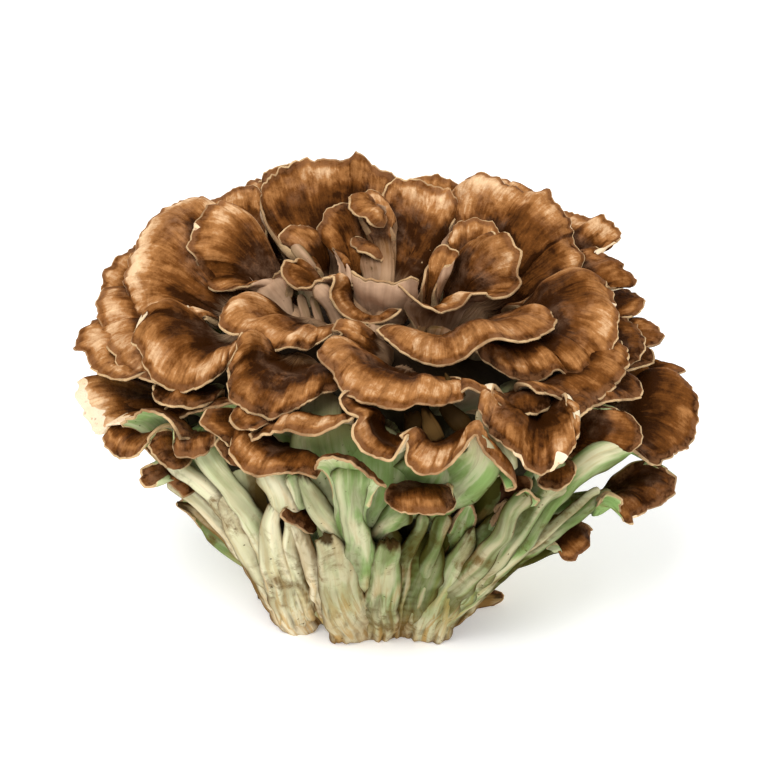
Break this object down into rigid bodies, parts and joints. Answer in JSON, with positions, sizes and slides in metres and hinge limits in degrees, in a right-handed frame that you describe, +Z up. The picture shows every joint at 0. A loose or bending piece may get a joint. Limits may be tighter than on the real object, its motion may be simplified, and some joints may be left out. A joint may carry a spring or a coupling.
{
  "type": "maitake mushroom",
  "caption": "Maitake cluster: thin waved brown fronds overlap in a rosette on pale stalks fused into one cut foot.",
  "frame": {"origin": "middle of the flat cut underside of the foot", "axes": "+Z up through the cluster, +X to the right of its best side, which faces -Y"},
  "size_m": [0.2473, 0.2076, 0.1689],
  "materials": {
    "flesh": "matt fibrous flesh of the stalks and undersides, cream with a green cast",
    "cap_skin": "matt to satin brown skin with radial fibres and a thin pale lip"
  },
  "bodies": {
    "root": {"maitake": "flesh"}
  },
  "joints": []
}
